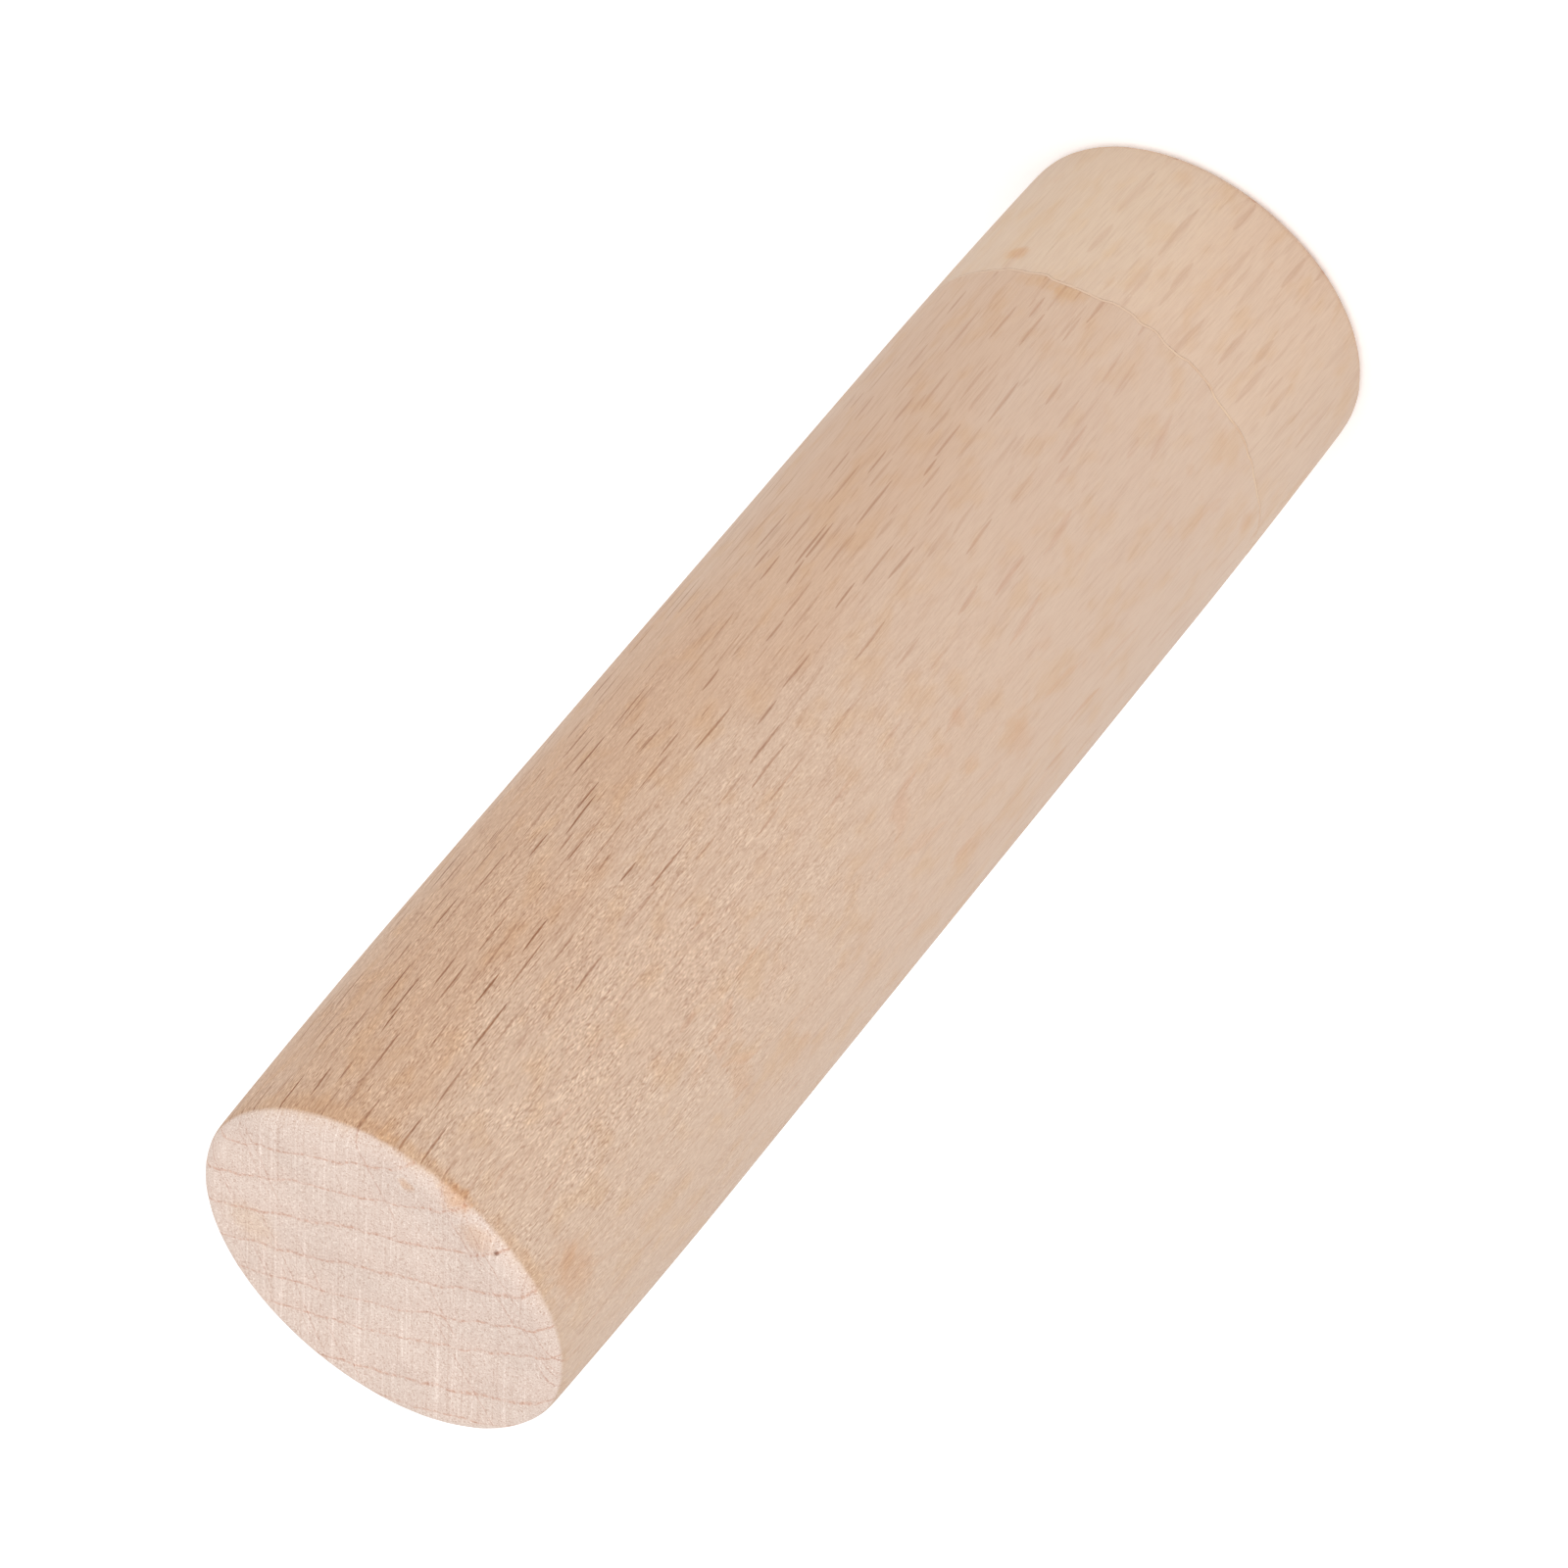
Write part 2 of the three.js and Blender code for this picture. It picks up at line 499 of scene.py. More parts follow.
@dataclass(frozen=True)
class BeechColours:
    """The colours that one board mixes.

    Attributes:
        pale: The paler, pinker wood on the side.
        tan: The warmer, yellower wood on the side.
        end: The wood where the fibres are cut across.
        bleached: What the wood's colour is multiplied by towards the foot of the muddler.
        scoured: What it is multiplied by at the joint and below, where more sanding left it paler.
        foot_rim: What it is multiplied by on the foot's burnished rim.
        streak: What long soft streaks multiply the side by.
        mottle: What warm mottles multiply the side by.
        blotch: What broad ray patches multiply the radial side by.
        late_side: What latewood multiplies the side by.
        fleck: What a ray multiplies the side's colour by where it shows darkest.
        faint_fleck: What a ray multiplies the side's colour by on the way to the radial side.
        vessel: What rows of vessels multiply the side by.
        dark_fibre: What the darker fibres multiply the side by.
        light_fibre: What the lighter fibres multiply the side by.
        lifted_fibre_highlight: What fibres that sanding raised multiply the side by, as a painted highlight
            on them.
        sunk_fibre_shade: What the gaps beside the raised fibres multiply the side by, as painted shade in
            them.
        ring: What a ring boundary multiplies the end by.
        late_end: What latewood multiplies the end by.
        end_ray: What a ray multiplies the end by.
        dark_speckle: What open pores multiply the end by.
        light_speckle: What torn fibre tips multiply the end by.
        saw_crest: What the crests of cutting marks multiply the end by.
        saw_trough: What the troughs of cutting marks multiply the end by.
    """

    pale: Colour
    tan: Colour
    end: Colour
    bleached: Colour = (0.99, 1.0, 1.02)
    scoured: Colour = (1.03, 1.035, 1.03)
    foot_rim: Colour = (0.9, 0.83, 0.76)
    streak: Colour = (0.97, 0.94, 0.93)
    mottle: Colour = (0.985, 0.94, 0.87)
    blotch: Colour = (0.97, 0.86, 0.77)
    late_side: Colour = (0.95, 0.92, 0.9)
    fleck: Colour = (0.44, 0.27, 0.15)
    faint_fleck: Colour = (0.92, 0.83, 0.8)
    vessel: Colour = (0.92, 0.88, 0.86)
    dark_fibre: Colour = (0.84, 0.78, 0.755)
    light_fibre: Colour = (1.1, 1.125, 1.13)
    # A painted highlight on raised fibres, and painted shade beside them.
    lifted_fibre_highlight: Colour = (1.28, 1.335, 1.35)
    sunk_fibre_shade: Colour = (0.76, 0.67, 0.62)
    ring: Colour = (0.86, 0.7, 0.63)
    late_end: Colour = (0.98, 0.95, 0.94)
    end_ray: Colour = (0.8, 0.65, 0.6)
    dark_speckle: Colour = (0.74, 0.62, 0.56)
    light_speckle: Colour = (1.25, 1.32, 1.35)
    saw_crest: Colour = (1.12, 1.15, 1.17)
    saw_trough: Colour = (0.92, 0.88, 0.86)


@dataclass(frozen=True)
class BeechFinish:
    """Turned and fine-sanded steamed beech, as a solid grain that every cut surface shows.

    Attributes:
        name: The material's name.
        grain: How the board was cut from the tree.
        colours: The board's colours.
        marks: Stains and specks.
        free_end: Height of the board's free end, in mm.
        fuzz_reach: How far from the free end raised fibres reach, in mm.
        fuzz: How much raised fibre the sanding left near the free end, from 0 to 1.
        fuzz_full: Share of that reach over which the raised fibre is at its full.
        saw_bearing: Bearing that the cutting marks on an end run along, in degrees.
        specular: Strength of the mirror reflection.
    """

    name: str
    grain: Grain
    colours: BeechColours
    marks: tuple[Mark, ...] = ()
    free_end: float = 0.0
    fuzz_reach: float = 10.0
    fuzz: float = 0.0
    fuzz_full: float = 0.15
    saw_bearing: float = 21.0
    specular: float = 0.3

    def build(self) -> bpy.types.Material:
        """Makes the material.

        Returns:
            A material that reads Object coordinates and the end-grain attribute.
        """
        material, wires = Wiring.of_material(self.name)
        grain = BoardGrain(self, wires)
        inputs = {"Base Color": grain.colour(), "Roughness": grain.roughness(), "Normal": grain.relief()}
        wires.surfaced(inputs, self.specular)
        return material


class BoardGrain:
    """The node network of one board's grain. Lengths in it are in mm.

    Attributes:
        place: The point on the board.
        height: Its height above the foot.
        grained: The point, straightened along the leaning fibres.
        shifted: That point, moved to the board's own part of every pattern.
        end_share: How far the surface cuts across the grain, from 0 to 1.
        pithward: Which way the side faces, from 1 towards the pith to -1 away from it.
        facing: The same without its sign.
        quiet: How quiet the grain is towards the foot, from 0 to 1.
        ray_width: How wide the rays show.
        ring_radius: Distance from the pith.
        tangent: Distance round the rings.
        raised: How much raised fibre there is, from 0 to 1.
    """

    def __init__(self, finish: BeechFinish, wires: Wiring) -> None:
        """Lays out the board's own directions and its shared patterns.

        Args:
            finish: The board's sizes and colours.
            wires: The material's tree.
        """
        self.finish = finish
        self.wires = wires
        grain = finish.grain
        self.place = wires.scaled(wires.fed("ShaderNodeTexCoord", {})["Object"], PER_METRE_MM)
        self.height = wires.split(self.place)[2]
        towards_pith = around(grain.pith_bearing)
        lean = around(grain.pith_bearing + 90.0) * grain.lean
        self.grained = wires.vector("ADD", self.place, wires.scaled(tuple(lean), self.height))
        drift = [grain.shift * share for share in SHIFT_SHARES]
        self.shifted = wires.vector("ADD", self.grained, drift)
        attribute = wires.fed("ShaderNodeAttribute", {}, attribute_name=END_GRAIN)
        self.end_share = wires.ramp(attribute["Fac"], CUT_ACROSS)
        outward = wires.vector("NORMALIZE", wires.flattened(self.place))
        self.pithward = wires.dot(outward, towards_pith)
        self.facing = wires.math("ABSOLUTE", self.pithward)
        self.quiet = wires.ramp(self.height, QUIET_FOOT)
        spread = wires.times(wires.blend(self.facing, 0.3, 1.0), wires.blend(self.quiet, 1.0, 1.7))
        self.ray_width = wires.blend(self.end_share, spread, 0.6)
        self.ring_radius, self.tangent = self._board_axes(towards_pith)
        reach = finish.fuzz_reach
        from_end = wires.gap(self.height, finish.free_end)
        self.raised = wires.smooth(from_end, reach * finish.fuzz_full, reach, finish.fuzz, 0.0)
        self.fibre = self._laid(FIBRES)
        self.strokes = self._laid(STROKES)
        self.speckle = self._laid(SPECKLES)
        self.turned = wires.ramp(self.pithward, TURNED_TO_PITH)
        self.saw = self._saw()
        self.late, self.line = self._rings()
        self.flecks = self._flecks()

    def _laid(self, pattern: Pattern) -> Socket:
        """A pattern as it lies in the board.

        Args:
            pattern: The pattern.

        Returns:
            Its noise, from 0 to 1.
        """
        moved = self.shifted
        if pattern.offset:
            moved = self.wires.vector("ADD", moved, (pattern.offset,) * 3)
        stretched = self.wires.vector("MULTIPLY", moved, pattern.scale)
        return self.wires.noise(stretched, pattern.detail, pattern.roughness)

    def _read(self, pattern: Pattern, ramp: Ramp) -> Socket:
        """A pattern read through a ramp."""
        return self.wires.ramp(self._laid(pattern), ramp)

    def _swayed(self, value: Socket, sways: Sequence[tuple[Pattern, float]]) -> Socket:
        """A distance that strays from true as the tree grew.

        Args:
            value: The true distance.
            sways: Patterns, and by how many mm each one moves it.

        Returns:
            The uneven distance.
        """
        wires = self.wires
        for pattern, amplitude in sways:
            stray = wires.times(wires.minus(self._laid(pattern), 0.5), amplitude)
            value = wires.plus(value, stray)
        return value

    def _board_axes(self, towards_pith: Vector) -> tuple[Socket, Socket]:
        """Where a point lies in the tree.

        Args:
            towards_pith: The direction of the pith.

        Returns:
            The distance from the pith and the distance round the rings, with the tree's own waviness.
        """
        wires = self.wires
        distance = self.finish.grain.pith_distance
        across = Vector((-towards_pith.y, towards_pith.x, 0.0))
        depth = wires.minus(distance, wires.dot(self.grained, towards_pith))
        side = wires.dot(self.grained, across)
        radius = self._swayed(wires.length(wires.joined(depth, side)), RING_SWAY)
        tangent = self._swayed(wires.times(wires.over(side, depth), distance), RAY_SWAY)
        return radius, tangent

    def _family(self, family: RayFlecks) -> Socket:
        """One family of rays.

        Args:
            family: The family.

        Returns:
            How much of a ray each point holds, from 0 to 1.
        """
        wires = self.wires
        moved = wires.plus(self.tangent, family.shift + self.finish.grain.shift)
        raised = wires.plus(self.height, family.shift * 3.0)
        cell = wires.joined(wires.over(moved, family.across), wires.over(raised, family.along))
        inputs = {"Vector": cell, "Scale": 1.0, "Randomness": RAY_SCATTER}
        nearest = wires.fed("ShaderNodeTexVoronoi", inputs, voronoi_dimensions="2D", feature="F1")
        across, along, _ = wires.split(wires.vector("SUBTRACT", cell, nearest["Position"]))
        chance, size, weight = wires.split(nearest["Color"])
        half_length = wires.blend(size, family.shortest, family.longest)
        share = wires.over(wires.times(along, family.along), half_length)
        taper = wires.math("SUBTRACT", 1.0, wires.times(share, share), clamp=True)
        thickness = wires.times(self.ray_width, family.half_width)
        width = wires.math("MULTIPLY_ADD", taper, thickness, THINNEST_RAY)
        distance = wires.math("ABSOLUTE", wires.times(across, family.across))
        core = wires.ramp(wires.over(distance, width), RAY_CORE)
        shape = wires.times(core, wires.ramp(taper, RAY_TIP))
        present = wires.math("LESS_THAN", chance, family.kept)
        depth = wires.blend(weight, FAINTEST_RAY, 1.0)
        return wires.times(wires.times(wires.times(shape, present), depth), family.strength)

    def _flecks(self) -> Socket:
        """All ray families together, before the surface's direction is counted."""
        families = [self._family(family) for family in self.finish.grain.families]
        return reduce(lambda total, part: self.wires.math("MAXIMUM", total, part), families)

    def _rings(self) -> tuple[Socket, Socket]:
        """The growth rings.

        Returns:
            The latewood shade and the thin ring boundary, each from 0 to 1.
        """
        wires = self.wires
        grain = self.finish.grain
        count = wires.over(self.ring_radius, grain.ring_spacing)
        uneven = wires.noise(wires.joined(wires.times(count, 0.6), grain.shift), 1.0)
        share = wires.math("FRACT", wires.math("MULTIPLY_ADD", uneven, 0.9, count))
        late = wires.times(wires.ramp(share, LATEWOOD_RISE), wires.ramp(share, LATEWOOD_FALL))
        line = wires.times(wires.ramp(share, RING_LINE_RISE), wires.ramp(share, RING_LINE_FALL))
        return late, line

    def _saw(self) -> Socket:
        """Fine parallel cutting marks across an end face.

        Returns:
            The marks, from 0 to 1.
        """
        wires = self.wires
        run = around(self.finish.saw_bearing)
        across = Vector((-run.y, run.x, 0.0))
        fine = wires.times(wires.dot(self.shifted, across), 5.0)
        long = wires.times(wires.dot(self.shifted, run), 0.06)
        return wires.noise(wires.joined(fine, long), 2.0, 0.6)

    def _marked(self, colour: Socket) -> Socket:
        """Adds the board's own stains and specks, and the foot's burnished rim.

        Args:
            colour: The clean colour.

        Returns:
            The marked colour.
        """
        wires = self.wires
        ragged = self._laid(STAIN_EDGES)
        for mark in self.finish.marks:
            offset = wires.vector("SUBTRACT", self.place, mark.place())
            scale = (1.0 / mark.round_by, 1.0 / mark.round_by, 1.0 / mark.along_by)
            distance = wires.length(wires.vector("MULTIPLY", offset, scale))
            edge = wires.math("MULTIPLY_ADD", ragged, 1.1, wires.minus(distance, 0.55))
            amount = wires.smooth(edge, 0.3, 1.15, mark.strength, 0.0)
            colour = wires.stained(colour, (mark.stain.value, amount))
        outer = wires.length(wires.flattened(self.place))
        rim = wires.times(wires.ramp(self.height, FOOT_RIM_HEIGHT), wires.ramp(outer, FOOT_RIM_RADIUS))
        return wires.stained(colour, (self.finish.colours.foot_rim, rim))

    def _side_colour(self) -> Socket:
        """The colour of the turned side, where the grain runs along the surface.

        Returns:
            The colour, before its fibres.
        """
        wires = self.wires
        colours = self.finish.colours
        cloud = wires.minus(self._laid(CLOUDS), 0.5)
        gradual = wires.ramp(wires.math("MULTIPLY_ADD", cloud, 1.2, self.pithward), GRADUAL_TAN)
        steep = wires.ramp(wires.math("MULTIPLY_ADD", cloud, 0.5, self.pithward), STEEP_TAN)
        tan = wires.times(wires.plus(gradual, steep), wires.blend(self.quiet, 1.0, 0.6))
        ray_patch = wires.math("MAXIMUM", self._read(BLOTCHES, BLOTCHED), self.flecks)
        radial_patch = wires.times(ray_patch, wires.ramp(self.facing, RADIAL_FACE))
        middle = wires.times(self.flecks, wires.ramp(self.facing, FAINT_FLECK_FACE))
        fleck = wires.times(self.flecks, wires.ramp(self.facing, DARK_FLECK_FACE))
        vessel = wires.smooth(self._laid(VESSELS), 0.5, 0.7, 0.0, wires.blend(self.quiet, 1.0, 0.6))
        return wires.stained(
            wires.mix(tan, colours.pale, colours.tan),
            (colours.bleached, self.quiet),
            (colours.scoured, wires.ramp(self.height, SCOURED_JOINT)),
            (colours.streak, self._read(STREAKS, STREAKED)),
            (colours.mottle, self._read(MOTTLES, MOTTLED)),
            (colours.blotch, wires.times(radial_patch, 0.55)),
            (colours.late_side, wires.times(self.late, 0.1)),
            (colours.faint_fleck, wires.times(middle, 0.8)),
            (colours.fleck, wires.times(fleck, wires.ramp(self.height, FLECKS_BY_HEIGHT))),
            (colours.vessel, vessel),
        )

    def _fibred(self, colour: Socket) -> Socket:
        """Adds fine light and dark fibres, stronger where the fibres are raised, with a painted highlight
        on the raised fibres and painted shade beside them.

        Args:
            colour: The side's colour.

        Returns:
            The colour with its fibres.
        """
        wires = self.wires
        colours = self.finish.colours
        reach = wires.math("MULTIPLY_ADD", self.turned, 0.5, 0.5)
        amount = wires.times(wires.math("MULTIPLY_ADD", self.raised, 0.7, 0.28), reach)
        # Where the raised fibres near the free end get their painted highlight and painted shade.
        lit_fuzz = wires.times(self.raised, self._read(FUZZ_PATCHES, FUZZY))
        lit_fuzz = wires.math("MULTIPLY", lit_fuzz, reach, clamp=True)
        return wires.stained(
            colour,
            (colours.dark_fibre, wires.times(wires.ramp(self.fibre, DARK_FIBRED), amount)),
            (colours.light_fibre, wires.times(wires.ramp(self.fibre, LIGHT_FIBRED), amount)),
            # Painted highlight on raised fibre strokes, then painted shade in the gaps beside them.
            (colours.lifted_fibre_highlight, wires.times(wires.ramp(self.strokes, LIFTED_HIGHLIGHT), lit_fuzz)),
            (colours.sunk_fibre_shade, wires.times(wires.ramp(self.strokes, SUNK_SHADE), lit_fuzz)),
        )

    def _end_colour(self) -> Socket:
        """The colour of a face cut across the grain.

        Returns:
            The colour, with its rings, rays, pores and cutting marks.
        """
        wires = self.wires
        colours = self.finish.colours
        shaded = tuple(part * 0.95 for part in colours.end)
        dotted = self._laid(END_DOTS)
        reach = wires.joined(wires.times(self.tangent, 0.6), wires.times(self.ring_radius, 0.16))
        broken = wires.ramp(wires.noise(reach, 1.0), BROKEN_RAY)
        dashed = wires.times(wires.ramp(dotted, DASHED_RAY), broken)
        return wires.stained(
            wires.mix(self._read(END_CLOUDS, CLOUDED_END), colours.end, shaded),
            (colours.ring, wires.times(self.line, wires.ramp(dotted, DASHED_RING))),
            (colours.late_end, wires.times(self.late, 0.6)),
            (colours.end_ray, wires.math("MULTIPLY", self.flecks, dashed, clamp=True)),
            (colours.dark_speckle, wires.ramp(self.speckle, DARK_SPECKLED)),
            (colours.light_speckle, wires.ramp(self.speckle, LIGHT_SPECKLED)),
            (colours.saw_crest, wires.ramp(self.saw, SAW_CREST)),
            (colours.saw_trough, wires.ramp(self.saw, SAW_TROUGH)),
        )

    def colour(self) -> Socket:
        """The board's colour at every point."""
        side = self._fibred(self._side_colour())
        return self._marked(self.wires.mix(self.end_share, side, self._end_colour()))

    def roughness(self) -> Socket:
        """How rough the surface is: smoother on ray tissue, rougher in the pores."""
        base = self.wires.blend(self.fibre, 0.56, 0.74)
        return self.wires.math("SUBTRACT", base, self.wires.times(self.flecks, 0.08), clamp=True)

    def relief(self) -> Socket:
        """Raised fibres, sunk rays and cutting marks.

        Returns:
            The bumped normal.
        """
        wires = self.wires
        side = wires.times(wires.times(self.strokes, self.raised), 0.035)
        side = wires.math("MULTIPLY_ADD", self.fibre, 0.02, side)
        side = wires.minus(side, wires.times(self.flecks, 0.015))
        end = wires.math("MULTIPLY_ADD", self.speckle, 0.03, wires.times(self.saw, 0.05))
        inputs = {"Height": wires.blend(self.end_share, side, end), "Distance": MM, "Strength": 1.0}
        return wires.fed("ShaderNodeBump", inputs)["Normal"]


@dataclass(frozen=True)
class GlueFinish:
    """Cured yellow wood glue, sanded flush, that shows as a hairline between wood dust.

    Attributes:
        name: The material's name.
        low: Height of the glue's lower face, in mm.
        high: Height of its upper face, in mm.
        bearing: The side of the muddler where the line shows most, in degrees.
        dust: The joint's edge where fine wood dust fills it.
        gap: The fine open gap along the lower face.
        squeeze: The pale cured glue above it.
        facing: Where, round the muddler, the line starts to show and shows fully.
        patches: Where it is dusted over and where it is clean.
        step: How the gap gives way to the glue between the two faces.
        specular: Strength of the mirror reflection.
    """

    name: str
    low: float
    high: float
    bearing: float
    dust: Colour
    gap: Colour
    squeeze: Colour
    facing: Ramp = Ramp(0.85, 1.15)
    patches: Ramp = Ramp(0.3, 0.6, 0.35, 1.0)
    step: Ramp = Ramp(0.3, 0.6)
    specular: float = 0.3

    def build(self) -> bpy.types.Material:
        """Makes the material.

        Returns:
            A material that reads Object coordinates.
        """
        material, wires = Wiring.of_material(self.name)
        place = wires.scaled(wires.fed("ShaderNodeTexCoord", {})["Object"], PER_METRE_MM)
        outward = wires.vector("NORMALIZE", wires.flattened(place))
        speck = wires.noise(wires.scaled(place, 2.2))
        side = wires.dot(outward, around(self.bearing))
        shown = wires.ramp(wires.math("MULTIPLY_ADD", speck, 0.5, side), self.facing)
        share = wires.smooth(wires.split(place)[2], self.low, self.high)
        line = wires.mix(wires.ramp(share, self.step), self.gap, self.squeeze)
        shown = wires.times(shown, wires.ramp(speck, self.patches))
        colour = wires.mix(shown, self.dust, line)
        inputs = {"Base Color": colour, "Roughness": wires.blend(speck, 0.5, 0.65)}
        wires.surfaced(inputs, self.specular)
        return material


@dataclass(frozen=True)
class TableFinish:
    """The plain white top of a table that is lit softly from below.

    Attributes:
        name: The material's name.
        colour: Its colour.
        glow: How strongly it shines by itself.
        rough: Its roughness.
        specular: Strength of the mirror reflection.
    """

    name: str
    colour: Colour
    glow: float
    rough: float = 0.9
    specular: float = 0.2

    def build(self) -> bpy.types.Material:
        """Makes the material.

        Returns:
            A plain material.
        """
        material = bpy.data.materials.new(self.name)
        material.use_nodes = True
        inputs = material.node_tree.nodes["Principled BSDF"].inputs
        inputs["Base Color"].default_value = (*self.colour, 1.0)
        inputs["Roughness"].default_value = self.rough
        inputs["Specular IOR Level"].default_value = self.specular
        inputs["Emission Color"].default_value = WHITE
        inputs["Emission Strength"].default_value = self.glow
        return material


# ----------------------------------------------------------------------------------------------
# Turning
# ----------------------------------------------------------------------------------------------


class Lathe:
    """A Geometry Nodes tree that turns an outline of edges about +Z into a closed, uneven piece.

    Attributes:
        tree: The tree.
        wires: Its wiring.
    """

    RAIL = 1.0 * MM
    MERGED = 0.001 * MM
    RIM_BAND = Ramp(0.0, 1.6 * MM, 1.0, 0.0)
    CHIP_BAND = Ramp(0.0, 0.7 * MM, 1.0, 0.0)
    CHIPPED = Ramp(0.58, 0.7)
    WANDER_BAND = Ramp(0.0, 3.0 * MM, 1.0, 0.0)
    WANDER_REACH = Ramp(9.0 * MM, 14.0 * MM)
    WANDER_STEP = Ramp(0.42, 0.58)
    OFF_AXIS = Ramp(0.0, 3.0 * MM)

    def __init__(self) -> None:
        """Builds the tree once, for every turned piece."""
        self.tree = bpy.data.node_groups.new("turn_outline", "GeometryNodeTree")
        self.wires = Wiring(self.tree)
        self._sockets()
        self._network()

    def _sockets(self) -> None:
        """Names the tree's inputs and output."""
        kinds = {
            "Geometry": ("Outline",),
            "Int": ("Segments", "Flutes", "Seed"),
            "Float": LATHE_SIZES,
            "Material": ("Finish",),
        }
        new_socket = self.tree.interface.new_socket
        for kind, names in kinds.items():
            for name in names:
                new_socket(name, in_out="INPUT", socket_type=f"NodeSocket{kind}")
        new_socket("Turned", in_out="OUTPUT", socket_type="NodeSocketGeometry")

    def _network(self) -> None:
        """Wires the tree: sweep, close, wear, mark the end grain, finish."""
        fed = self.wires.fed
        given = fed("NodeGroupInput", {})
        curve = fed("GeometryNodeMeshToCurve", {"Mesh": given["Outline"]})["Curve"]
        round_rail = {"Resolution": given["Segments"], "Radius": self.RAIL}
        rail = fed("GeometryNodeCurvePrimitiveCircle", round_rail)["Curve"]
        shape = fed("GeometryNodeCurveToMesh", {"Curve": rail, "Profile Curve": curve})["Mesh"]
        shape = fed("GeometryNodeMergeByDistance", {"Geometry": shape, "Distance": self.MERGED})["Geometry"]
        shape = fed("GeometryNodeFlipFaces", {"Mesh": shape})["Mesh"]
        placed = {"Geometry": shape, "Position": self._worn_position(given)}
        shape = fed("GeometryNodeSetPosition", placed)["Geometry"]
        normal = fed("GeometryNodeInputNormal", {})["Normal"]
        upright = self.wires.math("ABSOLUTE", self.wires.split(normal)[2])
        stored = {"Geometry": shape, "Name": END_GRAIN, "Value": upright}
        per_point = {"data_type": "FLOAT", "domain": "POINT"}
        shape = fed("GeometryNodeStoreNamedAttribute", stored, **per_point)["Geometry"]
        shape = fed("GeometryNodeSetShadeSmooth", {"Geometry": shape})["Geometry"]
        shape = fed("GeometryNodeRealizeInstances", {"Geometry": shape})["Geometry"]
        dressed = {"Geometry": shape, "Material": given["Finish"]}
        fed("NodeGroupOutput", {"Turned": fed("GeometryNodeSetMaterial", dressed)["Geometry"]})

    def _worn_position(self, given: bpy.types.bpy_prop_collection) -> Socket:
        """Where each point ends up after flutes, ripple, rim wear, chips and the joint's wander.

        Args:
            given: The tree's inputs.

        Returns:
            The new position. All but the wander only cut in.
        """
        wires = self.wires
        place = wires.fed("GeometryNodeInputPosition", {})["Position"]
        x, y, z = wires.split(place)
        seed = wires.times(given["Seed"], 17.3)
        millimetres = wires.vector("ADD", wires.scaled(place, PER_METRE_MM), wires.joined(seed, seed, seed))
        radius = wires.length(wires.joined(x, y))
        bearing = wires.math("ARCTAN2", y, x)
        wave = wires.math("COSINE", wires.times(bearing, given["Flutes"]))
        flute = wires.times(wires.math("MAXIMUM", wave, 0.0), given["Flute Depth"])
        ripple = wires.times(wires.noise(wires.scaled(millimetres, 0.06), 1.0), given["Ripple"])
        uneven = wires.noise(wires.vector("MULTIPLY", millimetres, (0.3, 0.3, 0.3)), 3.0, 0.6)
        by_rim = wires.ramp(wires.gap(z, given["Rim Height"]), self.RIM_BAND)
        wear = wires.times(wires.times(uneven, by_rim), given["Rim Wear"])
        splinter = wires.noise(wires.vector("MULTIPLY", millimetres, (0.8, 0.8, 0.5)))
        joint_gap = wires.gap(z, given["Joint Height"])
        chip = wires.times(wires.ramp(splinter, self.CHIPPED), wires.ramp(joint_gap, self.CHIP_BAND))
        chip = wires.times(chip, given["Joint Chips"])
        cut = wires.plus(wires.plus(flute, ripple), wires.plus(wear, chip))
        cut = wires.times(cut, wires.ramp(radius, self.OFF_AXIS))
        kept = wires.over(wires.minus(radius, cut), wires.math("MAXIMUM", radius, self.MERGED))
        moved = wires.vector("MULTIPLY", place, wires.joined(kept, kept, 1.0))
        near = wires.times(wires.ramp(joint_gap, self.WANDER_BAND), wires.ramp(radius, self.WANDER_REACH))
        strength = wires.times(near, given["Joint Wander"])
        compass = wires.joined(wires.math("COSINE", bearing), wires.math("SINE", bearing))
        path = wires.noise(wires.scaled(compass, 3.0), 2.0, 0.6)
        rise = wires.times(wires.minus(wires.ramp(path, self.WANDER_STEP), 0.5), strength)
        return wires.vector("ADD", moved, wires.joined(0.0, 0.0, rise))

    def turn(
        self, name: str, outline: Outline, finish: bpy.types.Material, **sizes: float
    ) -> bpy.types.Object:
        """Turns one outline into a plain mesh object.

        Args:
            name: The piece's name.
            outline: Points of radius and height, in metres, closed up when none is on the axis.
            finish: The piece's material.
            **sizes: The tree's inputs by name, with underscores for spaces.

        Returns:
            The finished object, with no modifier left on it.
        """
        mesh = bpy.data.meshes.new(name)
        points = [(radius - self.RAIL, -height, 0.0) for radius, height in outline]
        edges = [(i, i + 1) for i in range(len(points) - 1)]
        if min(radius for radius, _ in outline) > 0.0:
            edges.append((len(points) - 1, 0))
        mesh.from_pydata(points, edges, [])
        piece = bpy.data.objects.new(name, mesh)
        bpy.context.scene.collection.objects.link(piece)
        modifier = piece.modifiers.new("turning", "NODES")
        modifier.node_group = self.tree
        settings: dict[str, object] = {"Finish": finish}
        settings.update({key.replace("_", " "): value for key, value in sizes.items()})
        for key, value in settings.items():
            modifier[input_named(self.tree, key)] = value
        depsgraph = bpy.context.evaluated_depsgraph_get()
        turned = bpy.data.meshes.new_from_object(piece.evaluated_get(depsgraph))
        piece.modifiers.clear()
        piece.data = turned
        turned.name = name
        return piece


